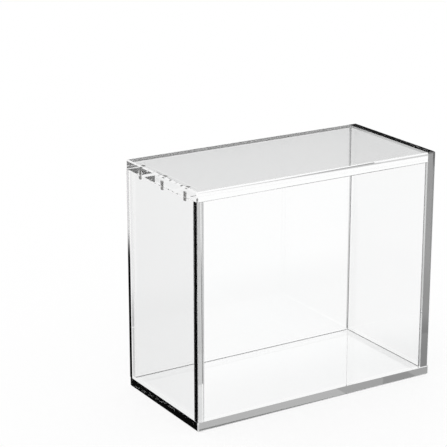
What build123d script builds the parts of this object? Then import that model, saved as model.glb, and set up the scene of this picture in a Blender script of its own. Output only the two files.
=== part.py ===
"""Clear acrylic display case for one boxed set of trading cards.

Six sheets of cast acrylic, laser cut to size, with polished bevels on their edges. Five are
cemented into a box that is open at its left end: the thick base, the thinner front and back
sheets on it, the thick fixed end sheet that closes the right end over the full height, and
the thick top sheet between that end and the opening. The sixth sheet, a thick one too, is the
removable end panel. It stands on the base under the top sheet, between the left ends of the
front and back sheets and flush with them, and is held by three pairs of small cylinder
magnets, one of each pair sunk in the panel's top edge and the other in the underside of the
top sheet.

Millimetres, +Z up. The origin is the centre of the underside, +X runs along the case's
length towards the fixed end and the front faces -Y.
"""

import os

from build123d import *

# Room inside for the box of cards
inner_width = 194.5
inner_depth = 94.5
inner_height = 166.0

# Acrylic sheets, cut from two stocks
sheet_thickness = 7.5  # base, top and both ends
window_thickness = 4.0  # front and back
edge_bevel = 1.0  # polished on every edge that is not cemented flush to another sheet
end_panel_play = 0.2  # round the removable panel, at its top, front and back

# Magnets and their blind pockets
magnet_diameter = 4.0
magnet_length = 3.0
magnet_edge_break = 0.2
magnet_set_back = 0.1  # how far a magnet's free end lies below the face
glue_gap = 0.06  # all round a magnet in its pocket
end_magnet_inset = 15.0  # from the front or back sheet to the axis of the nearest magnet

# Sizes that follow from those above
width = inner_width + 2 * sheet_thickness
depth = inner_depth + 2 * window_thickness
top_underside = sheet_thickness + inner_height
height = top_underside + sheet_thickness
panel_top = top_underside - end_panel_play
pocket_depth = magnet_length + magnet_set_back

# Where things lie along X and Y
right_face = width / 2
left_face = -right_face
back_face = depth / 2
front_face = -back_face
right_inner_face = inner_width / 2
left_inner_face = -right_inner_face
back_inner_face = inner_depth / 2
front_inner_face = -back_inner_face
magnet_line = left_face + sheet_thickness / 2
MAGNET_PLACES = {
    "front": front_inner_face + end_magnet_inset,
    "middle": 0.0,
    "back": back_inner_face - end_magnet_inset,
}

OUT = "parts"
UPWARDS = (Align.CENTER, Align.CENTER, Align.MIN)
DOWNWARDS = (Align.CENTER, Align.CENTER, Align.MAX)


def sheet(x_range, y_range, z_range):
    """A sheet that fills the space between the given low and high X, Y and Z."""
    low, high = zip(x_range, y_range, z_range)
    size = [b - a for a, b in zip(low, high)]
    return Pos(*low) * Box(*size, align=Align.MIN)


def with_magnet_pockets(part, z, align):
    """The part with a blind hole for each magnet, starting at height z."""
    for y in MAGNET_PLACES.values():
        hole = Cylinder(magnet_diameter / 2 + glue_gap, pocket_depth, align=align)
        part -= Pos(magnet_line, y, z) * hole
    return part


def base_panel():
    """The base: a full rectangle that everything stands on, bevelled all round."""
    part = sheet((left_face, right_face), (front_face, back_face), (0, sheet_thickness))
    return chamfer(part.edges(), edge_bevel)


def top_panel():
    """The top: from the left end to the fixed end sheet, with magnet pockets underneath."""
    x_range = (left_face, right_inner_face)
    part = sheet(x_range, (front_face, back_face), (top_underside, height))
    cemented_end = part.faces().sort_by(Axis.X)[-1].edges()
    part = chamfer(part.edges() - cemented_end, edge_bevel)
    return with_magnet_pockets(part, top_underside, UPWARDS)


def fixed_end_panel():
    """The right end: from the base to the full height, its ends showing at front and back."""
    x_range = (right_inner_face, right_face)
    part = sheet(x_range, (front_face, back_face), (sheet_thickness, height))
    outer = part.faces().sort_by(Axis.X)[-1].edges().sort_by(Axis.Z)[1:]
    top_ends = part.faces().sort_by(Axis.Z)[-1].edges().filter_by(Axis.X)
    return chamfer(outer + top_ends, edge_bevel)


def removable_end_panel():
    """The left end: bevelled all round, with magnet pockets in its top edge."""
    x_range = (left_face, left_inner_face)
    y_range = (front_inner_face + end_panel_play, back_inner_face - end_panel_play)
    part = sheet(x_range, y_range, (sheet_thickness, panel_top))
    part = chamfer(part.edges(), edge_bevel)
    return with_magnet_pockets(part, panel_top, DOWNWARDS)


def back_panel():
    """The back sheet: from the left end to the fixed end, its free left corner bevelled."""
    x_range = (left_face, right_inner_face)
    part = sheet(x_range, (back_inner_face, back_face), (sheet_thickness, top_underside))
    left_corners = part.edges().filter_by(Axis.Z).sort_by(Axis.X)[:2]
    return chamfer(left_corners.sort_by(Axis.Y)[-1:], edge_bevel)


def magnet():
    """A nickel-plated cylinder magnet standing on the XY plane."""
    body = Cylinder(magnet_diameter / 2, magnet_length, align=UPWARDS)
    return chamfer(body.edges().filter_by(GeomType.CIRCLE), magnet_edge_break)


def all_magnets():
    """Every magnet by its node name, each glued against the blind end of its pocket."""
    found = {}
    for place, y in MAGNET_PLACES.items():
        above = Pos(magnet_line, y, top_underside + magnet_set_back)
        below = Pos(magnet_line, y, panel_top - pocket_depth)
        found[f"top_magnet_{place}"] = above * magnet()
        found[f"end_panel_magnet_{place}"] = below * magnet()
    return found


def all_parts():
    """Every piece of the case by its node name. The front and back sheets are alike."""
    back = back_panel()
    parts = {
        "base_panel": base_panel(),
        "top_panel": top_panel(),
        "front_panel": back.mirror(Plane.XZ),
        "back_panel": back,
        "fixed_end_panel": fixed_end_panel(),
        "removable_end_panel": removable_end_panel(),
    }
    parts.update(all_magnets())
    return parts


os.makedirs(OUT, exist_ok=True)
for name, part in all_parts().items():
    export_step(part, f"{OUT}/{name}.step")
    print(f"{name:28s} {part.volume / 1000:9.3f} cm3")
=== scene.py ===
"""Looks for a clear acrylic display case with a removable end panel held by small magnets."""

import math
from itertools import combinations, product

import bmesh
import bpy
from mathutils import Matrix, Vector


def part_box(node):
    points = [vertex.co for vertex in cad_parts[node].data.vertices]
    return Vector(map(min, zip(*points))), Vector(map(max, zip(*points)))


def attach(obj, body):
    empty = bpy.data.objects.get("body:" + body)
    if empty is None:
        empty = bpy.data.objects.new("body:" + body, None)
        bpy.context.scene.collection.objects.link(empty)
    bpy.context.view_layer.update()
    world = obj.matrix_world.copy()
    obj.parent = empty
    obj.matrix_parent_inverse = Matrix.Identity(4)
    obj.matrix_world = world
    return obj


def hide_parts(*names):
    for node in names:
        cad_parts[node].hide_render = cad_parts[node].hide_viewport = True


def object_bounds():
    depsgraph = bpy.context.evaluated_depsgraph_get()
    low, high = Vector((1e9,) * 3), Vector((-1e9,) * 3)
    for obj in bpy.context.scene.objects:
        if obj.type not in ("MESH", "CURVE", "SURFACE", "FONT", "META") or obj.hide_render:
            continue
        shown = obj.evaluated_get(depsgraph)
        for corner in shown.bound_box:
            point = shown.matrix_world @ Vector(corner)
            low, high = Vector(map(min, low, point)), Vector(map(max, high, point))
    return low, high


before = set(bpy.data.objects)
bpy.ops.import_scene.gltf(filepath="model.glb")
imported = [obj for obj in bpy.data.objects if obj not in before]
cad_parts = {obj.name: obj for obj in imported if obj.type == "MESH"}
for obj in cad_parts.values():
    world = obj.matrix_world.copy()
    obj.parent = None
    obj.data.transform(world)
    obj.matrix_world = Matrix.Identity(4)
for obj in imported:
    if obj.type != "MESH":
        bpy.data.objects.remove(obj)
cad_low, cad_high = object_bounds()

MM = 0.001

# Sheets
EDGE_BEVEL = 1.0 * MM  # the polished bevel on an edge that stands free
SEAM_BREAK = 0.3 * MM  # taken off the edges beside the end panel and under the top sheet
HAIRLINE = 0.05 * MM  # air between a sheet and what it meets, which makes its edges show

# Cement
BEAD = 0.4 * MM  # how far a bead reaches along both sides of an inside corner
BEAD_HOLLOW = 0.3  # where the middle of its hollow face lies, as a share of that

# Magnets and their blind pockets
MAGNET_PLACES = ("front", "middle", "back")
MAGNET_RADIUS = 2.0 * MM
MAGNET_LENGTH = 3.0 * MM
MAGNET_EDGE_BREAK = 0.2 * MM
MAGNET_SET_BACK = 0.1 * MM  # how far a magnet's free end lies below the face
GLUE_GAP = 0.06 * MM  # all round a magnet in its pocket
CUTTER_OVERSHOOT = 0.3 * MM  # how far a pocket's cutter stands out of the face that it cuts
ROUND_SIDES = 48
SHARP_ANGLE = math.radians(30)  # faces of a magnet that meet at more keep a sharp edge

# Finishes, each from one end of its slight unevenness to the other
ACRYLIC_IOR = 1.49
WATER_CLEAR, FAINT_TINT = (1.0, 1.0, 1.0), (0.994, 0.998, 0.998)
ACRYLIC_ROUGHNESS = (0.0, 0.004)
DARK_NICKEL, LIGHT_NICKEL = (0.24, 0.237, 0.23), (0.32, 0.315, 0.305)
NICKEL_ROUGHNESS = (0.12, 0.24)
DARK_CEMENT, LIGHT_CEMENT = (0.36, 0.36, 0.37), (0.46, 0.46, 0.47)
CEMENT_ROUGHNESS = (0.4, 0.6)
NOISE_RANGE = (0.3, 0.7)  # where nearly all of a noise's values lie

# A look is the line along which something is seen. The acrylic bends it, and throws it back
# many times inside a thick sheet before it leaves.
LIGHT_BOUNCES = 48
TRAPPED_TURNS = 10.0  # after more, a look ends in a painted white glow in the top or the end panel

# The turns inside the acrylic up to which a look keeps its light, and by which it has none
TURNS = (3.0, 9.0)
BRIGHT_TURNS = (8.0, 9.0)  # for looks that come out steeply upwards or to the left
LONG_TURNS = (10.0, 12.0)  # for looks that cross a seam and come out forwards

# Where a look goes once it has come out
EYE_LEVEL = (0.1, 0.17)  # height of its direction where the dim band ends
STEEP = (0.45, 0.55)  # height of its direction where it begins to count as steep
SIDE_CHANGE = (-0.02, 0.02)  # its direction along an axis, from one side to the other
SEAM_CROSSED = (2.2, 2.8)  # surfaces passed, when they become more than one sheet's two

# Brightness of the room, and the painted brightness of the floor, where the acrylic throws the
# look out onto them
DIM = 0.2  # the band at eye level and the floor far behind
OUTER_MIRROR = 0.05  # what the outer faces mirror of the room behind the case
FLOOR_BEHIND = 0.54
FLOOR_LEFT = 0.6
FLOOR_AHEAD = 0.95
PAINTED_FLOOR_SHADE = 0.43  # painted shade on the floor beside and behind the case's right end
SHADE_WIDTH = 36.0 * MM  # how far the painted shade reaches in from that end
SHADE_FADES = (20.0 * MM, 60.0 * MM)  # how far behind the case it begins to fade and is gone
FAR_BEHIND = (560.0 * MM, 620.0 * MM)  # where the floor turns as dim as the band
AHEAD_STARTS = (30.0 * MM, 120.0 * MM)  # how far in front of the case the floor turns bright

# Floor
FLOOR_REACH = 3.0  # metres to each side
FLOOR_DROP = 0.1 * MM  # keeps it clear of the case's underside
SHADOW_SHARE = 0.15  # of the case's shadow on the floor, which clear acrylic leaves faint

# Camera
PICTURE_SIDE = 447  # pixels
FOCAL_PIXELS = 1677.5
SENSOR_MM = 36.0
SEEN_FROM, SEEN_TO = 0.01, 100.0  # metres from the lens
CAMERA_PLACE = (-671.7 * MM, -1006.5 * MM, 508.0 * MM)
CAMERA_AZIMUTH = math.radians(-31.636)
CAMERA_ELEVATION = math.radians(17.461)


# ---------------------------------------------------------------- node helpers


def new_material(name):
    """An empty node material with its output node."""
    material = bpy.data.materials.new(name)
    material.use_nodes = True
    tree = material.node_tree
    tree.nodes.clear()
    output = tree.nodes.new("ShaderNodeOutputMaterial")
    return material, tree, output


def feed(tree, socket, value):
    """Gives a socket a plain number or another node's output."""
    if isinstance(value, float):
        socket.default_value = value
    else:
        tree.links.new(value, socket)


def object_noise(tree, scale, detail):
    """Noise that sits still on the piece."""
    place = tree.nodes.new("ShaderNodeTexCoord")
    noise = tree.nodes.new("ShaderNodeTexNoise")
    noise.inputs["Scale"].default_value = scale
    noise.inputs["Detail"].default_value = detail
    tree.links.new(place.outputs["Object"], noise.inputs["Vector"])
    return noise.outputs["Fac"]


def ramp(tree, value, start, end, low, high, smooth=True):
    """A number that goes from low to high as the value goes from start to end."""
    node = tree.nodes.new("ShaderNodeMapRange")
    node.interpolation_type = "SMOOTHSTEP" if smooth else "LINEAR"
    node.inputs["From Min"].default_value = start
    node.inputs["From Max"].default_value = end
    node.inputs["To Min"].default_value = low
    node.inputs["To Max"].default_value = high
    tree.links.new(value, node.inputs["Value"])
    return node.outputs["Result"]


def between(tree, noise, low, high):
    """A number that runs evenly from low to high over the noise's usual range."""
    return ramp(tree, noise, *NOISE_RANGE, low, high, smooth=False)


def blend_colours(tree, factor, first, second):
    """A colour that runs from first to second with the factor."""
    mix = tree.nodes.new("ShaderNodeMix")
    mix.data_type = "RGBA"
    mix.inputs["A"].default_value = (*first, 1.0)
    mix.inputs["B"].default_value = (*second, 1.0)
    tree.links.new(factor, mix.inputs["Factor"])
    return mix.outputs["Result"]


def mix_numbers(tree, factor, first, second):
    """A number that runs from first to second with the factor."""
    mix = tree.nodes.new("ShaderNodeMix")
    tree.links.new(factor, mix.inputs["Factor"])
    feed(tree, mix.inputs["A"], first)
    feed(tree, mix.inputs["B"], second)
    return mix.outputs["Result"]


def mix_shaders(tree, factor, first, second):
    """The first shader where the factor is 0 and the second where it is 1."""
    mix = tree.nodes.new("ShaderNodeMixShader")
    tree.links.new(factor, mix.inputs["Fac"])
    tree.links.new(first, mix.inputs[1])
    tree.links.new(second, mix.inputs[2])
    return mix.outputs[0]


def calculate(tree, operation, first, second=0.0):
    """What a Math node makes of one or two numbers or outputs."""
    node = tree.nodes.new("ShaderNodeMath")
    node.operation = operation
    feed(tree, node.inputs[0], first)
    feed(tree, node.inputs[1], second)
    return node.outputs[0]


def white_light(tree, shader, strength):
    """White light of the strength, from an Emission or a Background shader."""
    node = tree.nodes.new(shader)
    node.inputs["Color"].default_value = (1.0, 1.0, 1.0, 1.0)
    feed(tree, node.inputs["Strength"], strength)
    return node.outputs[0]


def look_so_far(tree, fact):
    """A fact about the look's way so far, such as how often it was thrown back."""
    path = tree.nodes.new("ShaderNodeLightPath")
    return path.outputs[fact]


# ------------------------------------------------------------------- materials


def clear_acrylic(name, painted_glow=False):
    """Water-clear cast acrylic with the faintest cloud in its tint and polish."""
    material, tree, output = new_material(name)
    shader = tree.nodes.new("ShaderNodeBsdfPrincipled")
    shader.inputs["Transmission Weight"].default_value = 1.0
    shader.inputs["IOR"].default_value = ACRYLIC_IOR
    cloud = object_noise(tree, 22.0, 3.0)
    tint = blend_colours(tree, between(tree, cloud, 0.0, 1.0), WATER_CLEAR, FAINT_TINT)
    tree.links.new(tint, shader.inputs["Base Color"])
    tree.links.new(between(tree, cloud, *ACRYLIC_ROUGHNESS), shader.inputs["Roughness"])
    surface = shader.outputs["BSDF"]
    if painted_glow:
        # Painted white glow: an emission that a look shows once it is trapped past TRAPPED_TURNS
        turns = look_so_far(tree, "Glossy Depth")
        trapped = calculate(tree, "GREATER_THAN", turns, TRAPPED_TURNS)
        haze_and_painted_glow = white_light(tree, "ShaderNodeEmission", 1.0)
        surface = mix_shaders(tree, trapped, surface, haze_and_painted_glow)
    tree.links.new(surface, output.inputs["Surface"])
    return material


def magnet_nickel():
    """Nickel plating over a magnet, with the plating's slight unevenness."""
    material, tree, output = new_material("magnet_nickel")
    shader = tree.nodes.new("ShaderNodeBsdfPrincipled")
    shader.inputs["Metallic"].default_value = 1.0
    mottle = object_noise(tree, 900.0, 2.0)
    colour = blend_colours(tree, mottle, DARK_NICKEL, LIGHT_NICKEL)
    tree.links.new(colour, shader.inputs["Base Color"])
    tree.links.new(between(tree, mottle, *NICKEL_ROUGHNESS), shader.inputs["Roughness"])
    tree.links.new(shader.outputs["BSDF"], output.inputs["Surface"])
    return material


def hazy_cement():
    """Solvent cement that has set a little cloudy."""
    material, tree, output = new_material("hazy_cement")
    shader = tree.nodes.new("ShaderNodeBsdfPrincipled")
    shader.inputs["IOR"].default_value = ACRYLIC_IOR
    haze_and_painted_glow = object_noise(tree, 300.0, 2.0)
    tone = blend_colours(tree, haze_and_painted_glow, DARK_CEMENT, LIGHT_CEMENT)
    tree.links.new(tone, shader.inputs["Base Color"])
    tree.links.new(between(tree, haze_and_painted_glow, *CEMENT_ROUGHNESS), shader.inputs["Roughness"])
    tree.links.new(shader.outputs["BSDF"], output.inputs["Surface"])
    return material


# ---------------------------------------------------------------------- sheets


def as_object(name, block):
    """A scene object with the block's mesh."""
    mesh = bpy.data.meshes.new(name)
    block.to_mesh(mesh)
    block.free()
    piece = bpy.data.objects.new(name, mesh)
    bpy.context.scene.collection.objects.link(piece)
    return piece


def square_block(low, high):
    """A plain block between two corners."""
    block = bmesh.new()
    bmesh.ops.create_cube(block, size=1.0)
    middle = (low + high) / 2
    size = high - low
    place = Matrix.Translation(middle) @ Matrix.Diagonal((*size, 1.0))
    bmesh.ops.transform(block, matrix=place, verts=block.verts)
    return block


def cut_edge(block, place, outwards):
    """Cuts one edge off a convex block with a plane and closes the cut."""
    parts = block.verts[:] + block.edges[:] + block.faces[:]
    cut = bmesh.ops.bisect_plane(
        block, geom=parts, plane_co=place, plane_no=outwards, clear_outer=True
    )
    rim = [part for part in cut["geom_cut"] if isinstance(part, bmesh.types.BMEdge)]
    bmesh.ops.holes_fill(block, edges=rim)


def side_name(axis, way):
    """The name of the side that faces one way along an axis, such as -X or +Z."""
    return ("-" if way < 0 else "+") + "XYZ"[axis]


def bevel_edges(block, low, high, flush, broken):
    """Bevels a block's edges. Those of a broken side get less and those of a flush one none."""
    for axes in combinations(range(3), 2):
        for ways in product((-1, 1), repeat=2):
            sides = {side_name(axis, way) for axis, way in zip(axes, ways)}
            if sides & set(flush):
                continue
            place = (low + high) / 2
            outwards = Vector((0, 0, 0))
            for axis, way in zip(axes, ways):
                place[axis] = low[axis] if way < 0 else high[axis]
                outwards[axis] = way
            size = SEAM_BREAK if sides & set(broken) else EDGE_BEVEL
            place[axes[0]] -= ways[0] * size
            cut_edge(block, place, outwards)
    block.normal_update()


def sheet(node, flush=(), broken=(), drawn_in=()):
    """One acrylic sheet in the place of its node, a hairline short on its drawn-in sides."""
    low, high = (Vector(corner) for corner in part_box(node))
    for axis, way in product(range(3), (-1, 1)):
        if side_name(axis, way) in drawn_in:
            corner = low if way < 0 else high
            corner[axis] -= way * HAIRLINE
    block = square_block(low, high)
    bevel_edges(block, low, high, flush, broken)
    return as_object(node.replace("_panel", "_sheet"), block)


def pocket_cutter(centre, depth):
    """The round hole for one magnet, from the face at centre up or down by depth."""
    cutter = bmesh.new()
    radius = MAGNET_RADIUS + GLUE_GAP
    over = math.copysign(CUTTER_OVERSHOOT, depth)
    bmesh.ops.create_cone(
        cutter, cap_ends=True, segments=ROUND_SIDES, depth=abs(depth) + abs(over),
        radius1=radius, radius2=radius,
    )
    middle = centre + Vector((0, 0, (depth - over) / 2))
    bmesh.ops.translate(cutter, vec=middle, verts=cutter.verts)
    return cutter


def cut_pockets(piece, centres, depth):
    """Cuts one blind hole for each centre out of the piece."""
    cutters = []
    for centre in centres:
        cutter = as_object("pocket_cutter", pocket_cutter(centre, depth))
        cut = piece.modifiers.new("pocket", "BOOLEAN")
        cut.operation = "DIFFERENCE"
        cut.solver = "EXACT"
        cut.object = cutter
        cutters.append(cutter)
    graph = bpy.context.evaluated_depsgraph_get()
    mesh = bpy.data.meshes.new_from_object(piece.evaluated_get(graph))
    piece.modifiers.clear()
    piece.data = mesh
    for cutter in cutters:
        bpy.data.objects.remove(cutter)


def magnet_centres(z):
    """Where the magnets' axes meet the height z."""
    centres = []
    for place in MAGNET_PLACES:
        low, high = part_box(f"top_magnet_{place}")
        centres.append(Vector(((low[0] + high[0]) / 2, (low[1] + high[1]) / 2, z)))
    return centres


# ---------------------------------------------------------------------- cement


def bead(block, corner, end, into):
    """A thin bead with a hollow face from corner to end, filling an inside corner."""
    first, second = (Vector(leg) * BEAD for leg in into)
    hollow = (first + second) * BEAD_HOLLOW
    rings = []
    for place in (corner, end):
        points = (place, place + first, place + hollow, place + second)
        rings.append([block.verts.new(point) for point in points])
    start, finish = rings
    for here, there in ((0, 1), (1, 2), (2, 3), (3, 0)):
        block.faces.new((start[here], start[there], finish[there], finish[here]))
    block.faces.new(start[::-1])
    block.faces.new(finish)


def cement_beads():
    """Beads along the base at the back and the fixed end, and up both corners at that end."""
    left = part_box("removable_end_panel")[1][0] + HAIRLINE
    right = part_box("fixed_end_panel")[0][0] - HAIRLINE
    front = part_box("front_panel")[1][1] + HAIRLINE
    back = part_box("back_panel")[0][1] - HAIRLINE
    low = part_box("base_panel")[1][2] + HAIRLINE
    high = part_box("top_panel")[0][2] - HAIRLINE
    along, deep, up = Vector((1, 0, 0)), Vector((0, 1, 0)), Vector((0, 0, 1))
    block = bmesh.new()
    bead(block, Vector((left, back, low)), Vector((right - BEAD, back, low)), (-deep, up))
    bead(block, Vector((right, front, low)), Vector((right, back, low)), (-along, up))
    for y, inwards in ((front, deep), (back, -deep)):
        corner, end = Vector((right, y, low + BEAD)), Vector((right, y, high))
        bead(block, corner, end, (-along, inwards))
    bmesh.ops.recalc_face_normals(block, faces=block.faces)
    return as_object("cement_beads", block)


# --------------------------------------------------------------------- magnets


def along_axis(tree, axis, length):
    """A vector of the length along one axis."""
    node = tree.nodes.new("ShaderNodeCombineXYZ")
    feed(tree, node.inputs[axis], length)
    return node.outputs[0]


def round_bar(tree, radius, length, edge_break):
    """A bar with broken edges, standing on the origin, as the hull round four rings."""
    end_radius = calculate(tree, "SUBTRACT", radius, edge_break)
    upper_edge = calculate(tree, "SUBTRACT", length, edge_break)
    rings = tree.nodes.new("GeometryNodeJoinGeometry")
    for ring_radius, height in (
        (end_radius, 0.0), (radius, edge_break), (radius, upper_edge), (end_radius, length),
    ):
        ring = tree.nodes.new("GeometryNodeMeshCircle")
        ring.inputs["Vertices"].default_value = ROUND_SIDES
        tree.links.new(ring_radius, ring.inputs["Radius"])
        lift = tree.nodes.new("GeometryNodeTransform")
        tree.links.new(ring.outputs["Mesh"], lift.inputs["Geometry"])
        tree.links.new(along_axis(tree, "Z", height), lift.inputs["Translation"])
        tree.links.new(lift.outputs["Geometry"], rings.inputs["Geometry"])
    hull = tree.nodes.new("GeometryNodeConvexHull")
    tree.links.new(rings.outputs["Geometry"], hull.inputs["Geometry"])
    return hull.outputs["Convex Hull"]


def magnet_row_tree(material):
    """Makes a row of magnets along Y, the foot of the first one at First."""
    tree = bpy.data.node_groups.new("magnet_row", "GeometryNodeTree")
    tree.interface.new_socket("Geometry", in_out="OUTPUT", socket_type="NodeSocketGeometry")
    inputs = {
        "Radius": ("NodeSocketFloat", MAGNET_RADIUS),
        "Length": ("NodeSocketFloat", MAGNET_LENGTH),
        "Edge break": ("NodeSocketFloat", MAGNET_EDGE_BREAK),
        "Pitch": ("NodeSocketFloat", 0.0),
        "Count": ("NodeSocketInt", len(MAGNET_PLACES)),
        "First": ("NodeSocketVector", (0.0, 0.0, 0.0)),
    }
    for name, (kind, value) in inputs.items():
        socket = tree.interface.new_socket(name, in_out="INPUT", socket_type=kind)
        socket.default_value = value
    given = tree.nodes.new("NodeGroupInput").outputs
    row = tree.nodes.new("GeometryNodeMeshLine")
    row.mode = "OFFSET"
    tree.links.new(given["Count"], row.inputs["Count"])
    tree.links.new(given["First"], row.inputs["Start Location"])
    tree.links.new(along_axis(tree, "Y", given["Pitch"]), row.inputs["Offset"])
    copies = tree.nodes.new("GeometryNodeInstanceOnPoints")
    tree.links.new(row.outputs["Mesh"], copies.inputs["Points"])
    magnet = round_bar(tree, given["Radius"], given["Length"], given["Edge break"])
    tree.links.new(magnet, copies.inputs["Instance"])
    whole = tree.nodes.new("GeometryNodeRealizeInstances")
    tree.links.new(copies.outputs["Instances"], whole.inputs["Geometry"])
    finish = tree.nodes.new("GeometryNodeSetMaterial")
    finish.inputs["Material"].default_value = material
    tree.links.new(whole.outputs["Geometry"], finish.inputs["Geometry"])
    output = tree.nodes.new("NodeGroupOutput")
    tree.links.new(finish.outputs["Geometry"], output.inputs["Geometry"])
    return tree


def magnet_row(name, tree, nodes):
    """The magnets that stand in for the given nodes, as one plain mesh."""
    first_low, first_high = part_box(nodes[0])
    last_low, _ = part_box(nodes[-1])
    foot = ((first_low[0] + first_high[0]) / 2, (first_low[1] + first_high[1]) / 2, first_low[2])
    pitch = (last_low[1] - first_low[1]) / (len(nodes) - 1)
    piece = bpy.data.objects.new(name, bpy.data.meshes.new(name))
    bpy.context.scene.collection.objects.link(piece)
    row = piece.modifiers.new("row", "NODES")
    row.node_group = tree
    wanted = {"Pitch": pitch, "Count": len(nodes), "First": foot}
    for socket in tree.interface.items_tree:
        if socket.in_out == "INPUT" and socket.name in wanted:
            row[socket.identifier] = wanted[socket.name]
    graph = bpy.context.evaluated_depsgraph_get()
    mesh = bpy.data.meshes.new_from_object(piece.evaluated_get(graph))
    piece.modifiers.clear()
    piece.data = mesh
    block = bmesh.new()
    block.from_mesh(mesh)
    bmesh.ops.recalc_face_normals(block, faces=block.faces)
    block.to_mesh(mesh)
    block.free()
    mesh.shade_smooth()
    mesh.set_sharp_from_angle(angle=SHARP_ANGLE)
    return piece


# ----------------------------------------------------------------------- stage


def thrown_back(tree):
    """1 for a look that the acrylic has thrown back on its way, otherwise 0."""
    return calculate(tree, "GREATER_THAN", look_so_far(tree, "Glossy Depth"), 0.5)


def mirrored_outside(tree):
    """1 for what an outer face mirrors, and 0 once the look has entered a sheet."""
    return calculate(tree, "LESS_THAN", look_so_far(tree, "Transmission Depth"), 0.5)


def light_left(tree, turns):
    """How much light is left after the turns that the look has made inside the acrylic."""
    return ramp(tree, look_so_far(tree, "Glossy Depth"), *turns, 1.0, 0.0)


def room_in_edges(tree):
    """How bright the room looks where the acrylic throws the look out into it."""
    place = tree.nodes.new("ShaderNodeTexCoord")
    split = tree.nodes.new("ShaderNodeSeparateXYZ")
    tree.links.new(place.outputs["Generated"], split.inputs[0])
    across, deep, height = split.outputs
    band = ramp(tree, calculate(tree, "ABSOLUTE", height), *EYE_LEVEL, DIM, 1.0)
    crossed = ramp(tree, look_so_far(tree, "Transmission Depth"), *SEAM_CROSSED, 0.0, 1.0)
    one_sheet = calculate(tree, "SUBTRACT", 1.0, crossed)
    steep = ramp(tree, height, *STEEP, 0.0, 1.0)
    leftwards = ramp(tree, across, *SIDE_CHANGE, 1.0, 0.0)
    leftwards = calculate(tree, "MULTIPLY", leftwards, one_sheet)
    bright = calculate(tree, "MAXIMUM", steep, leftwards)
    left = mix_numbers(tree, bright, light_left(tree, TURNS), light_left(tree, BRIGHT_TURNS))
    forwards = ramp(tree, deep, *SIDE_CHANGE, 1.0, 0.0)
    long_way = calculate(tree, "MULTIPLY", forwards, crossed)
    left = mix_numbers(tree, long_way, left, light_left(tree, LONG_TURNS))
    backwards = ramp(tree, deep, *SIDE_CHANGE, 0.0, 1.0)
    mirrored = calculate(tree, "MULTIPLY", backwards, mirrored_outside(tree))
    share = mix_numbers(tree, mirrored, 1.0, OUTER_MIRROR)
    return calculate(tree, "MULTIPLY", calculate(tree, "MULTIPLY", band, left), share)


def floor_in_edges(tree):
    """How bright the floor is painted to look, as an emission, where the acrylic throws the look
    down onto it.
    """
    place = tree.nodes.new("ShaderNodeTexCoord")
    split = tree.nodes.new("ShaderNodeSeparateXYZ")
    tree.links.new(place.outputs["Object"], split.inputs[0])
    across, deep, _ = split.outputs
    left, front, _ = cad_low
    right, back, _ = cad_high
    behind = ramp(tree, across, left / 2, left, FLOOR_BEHIND, FLOOR_LEFT)
    # A painted shade on the floor beside and behind the case's right end
    to_right = ramp(tree, across, right - SHADE_WIDTH, right - SHADE_WIDTH + MM, 0.0, 1.0)
    close = ramp(tree, deep, *(back + reach for reach in SHADE_FADES), 1.0, 0.0)
    painted_shade = calculate(tree, "MULTIPLY", to_right, close)
    behind = mix_numbers(tree, painted_shade, behind, PAINTED_FLOOR_SHADE)
    far = ramp(tree, deep, *FAR_BEHIND, 0.0, 1.0)
    behind = mix_numbers(tree, far, behind, DIM)
    behind = calculate(tree, "MULTIPLY", behind, light_left(tree, TURNS))
    share = mix_numbers(tree, mirrored_outside(tree), 1.0, OUTER_MIRROR)
    behind = calculate(tree, "MULTIPLY", behind, share)
    ahead = ramp(tree, deep, *(front - reach for reach in AHEAD_STARTS), 0.0, 1.0)
    return mix_numbers(tree, ahead, behind, FLOOR_AHEAD)


def studio():
    """A white room with a dim band at eye level that only the acrylic's edges catch."""
    world = bpy.data.worlds.new("studio")
    bpy.context.scene.world = world
    world.use_nodes = True
    tree = world.node_tree
    tree.nodes.clear()
    output = tree.nodes.new("ShaderNodeOutputWorld")
    white = white_light(tree, "ShaderNodeBackground", 1.0)
    walls = white_light(tree, "ShaderNodeBackground", room_in_edges(tree))
    room = mix_shaders(tree, thrown_back(tree), white, walls)
    tree.links.new(room, output.inputs["Surface"])


def floor():
    """A plain white floor with the case's faint shadow."""
    mesh = bpy.data.meshes.new("floor")
    corners = [
        (x * FLOOR_REACH, y * FLOOR_REACH, -FLOOR_DROP)
        for x, y in ((-1, -1), (1, -1), (1, 1), (-1, 1))
    ]
    mesh.from_pydata(corners, [], [range(len(corners))])
    piece = bpy.data.objects.new("floor", mesh)
    bpy.context.scene.collection.objects.link(piece)
    material, tree, output = new_material("floor_white")
    matt = tree.nodes.new("ShaderNodeBsdfDiffuse")
    matt.inputs["Color"].default_value = (1.0, 1.0, 1.0, 1.0)
    white = white_light(tree, "ShaderNodeEmission", 1.0)
    in_edges = white_light(tree, "ShaderNodeEmission", floor_in_edges(tree))
    seen = calculate(tree, "MULTIPLY", look_so_far(tree, "Is Camera Ray"), 1.0 - SHADOW_SHARE)
    bright = calculate(tree, "MAXIMUM", look_so_far(tree, "Is Transmission Ray"), seen)
    plain = mix_shaders(tree, bright, matt.outputs["BSDF"], white)
    # A look thrown back by the acrylic sees the floor's painted brightness, an emission, not its
    # lit white.
    surface = mix_shaders(tree, thrown_back(tree), plain, in_edges)
    tree.links.new(surface, output.inputs["Surface"])
    mesh.materials.append(material)


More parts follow.
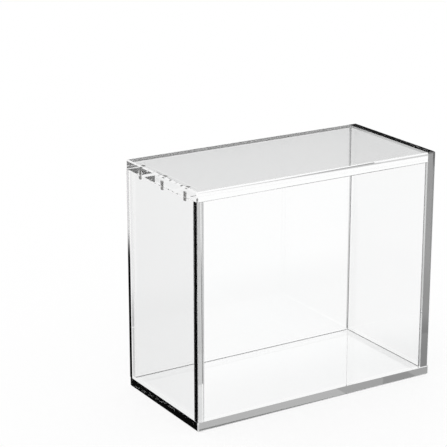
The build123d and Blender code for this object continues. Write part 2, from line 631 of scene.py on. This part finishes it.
def camera():
    """The camera, a long lens from the front left and a little above."""
    lens = bpy.data.cameras.new("camera")
    lens.sensor_width = SENSOR_MM
    lens.lens = FOCAL_PIXELS / PICTURE_SIDE * SENSOR_MM
    lens.clip_start, lens.clip_end = SEEN_FROM, SEEN_TO
    piece = bpy.data.objects.new("camera", lens)
    bpy.context.scene.collection.objects.link(piece)
    backwards = Vector((
        math.sin(CAMERA_AZIMUTH) * math.cos(CAMERA_ELEVATION),
        -math.cos(CAMERA_AZIMUTH) * math.cos(CAMERA_ELEVATION),
        math.sin(CAMERA_ELEVATION),
    ))
    piece.location = CAMERA_PLACE
    piece.rotation_euler = (-backwards).to_track_quat("-Z", "Y").to_euler()
    bpy.context.scene.camera = piece


# -------------------------------------------------------------------- assembly

acrylic = clear_acrylic("clear_acrylic")
painted_glow_acrylic = clear_acrylic("clear_acrylic_painted_glow", painted_glow=True)
nickel = magnet_nickel()
cement = hazy_cement()

WINDOW_SEAMS = ("+X", "-Z", "+Z")  # where the front and back sheets meet the thick ones
SHEETS = {  # node: its body, then its sides with square and broken edges and the short ones
    "base_panel": ("case", dict(flush=("+X", "+Z"))),
    "front_panel": (
        "case", dict(flush=("+Y", *WINDOW_SEAMS), broken=("-X",), drawn_in=WINDOW_SEAMS)
    ),
    "back_panel": (
        "case", dict(flush=("-Y", *WINDOW_SEAMS), broken=("-X",), drawn_in=WINDOW_SEAMS)
    ),
    "fixed_end_panel": ("case", dict(flush=("-X", "-Z"), drawn_in=("-Z",))),
    "top_panel": ("case", dict(flush=("+X",), broken=("-Z",), drawn_in=("+X",))),
    "removable_end_panel": (
        "end_panel", dict(flush=("-Z",), broken=("+Z",), drawn_in=("-Z",))
    ),
}
POCKETS = {  # node: the height its pockets start at, and which way they go
    "top_panel": (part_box("top_panel")[0][2], 1),
    "removable_end_panel": (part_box("removable_end_panel")[1][2], -1),
}

for node, (body, sides) in SHEETS.items():
    piece = sheet(node, **sides)
    if node in POCKETS:
        start, way = POCKETS[node]
        cut_pockets(piece, magnet_centres(start), way * (MAGNET_LENGTH + MAGNET_SET_BACK))
    piece.data.materials.clear()
    # The sheets with pockets take the acrylic with the painted white glow.
    piece.data.materials.append(painted_glow_acrylic if node in POCKETS else acrylic)
    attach(piece, body)
    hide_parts(node)

beads = cement_beads()
beads.data.materials.append(cement)
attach(beads, "case")

bars = magnet_row_tree(nickel)
for name, body in (("top_magnet", "case"), ("end_panel_magnet", "end_panel")):
    nodes = [f"{name}_{place}" for place in MAGNET_PLACES]
    row = magnet_row(f"{name}s", bars, nodes)
    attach(row, body)
    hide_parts(*nodes)

camera()
studio()
floor()

scene = bpy.context.scene
scene.view_settings.view_transform = "Standard"
scene.cycles.max_bounces = LIGHT_BOUNCES
scene.cycles.transmission_bounces = LIGHT_BOUNCES
scene.cycles.glossy_bounces = LIGHT_BOUNCES
scene.cycles.transparent_max_bounces = LIGHT_BOUNCES
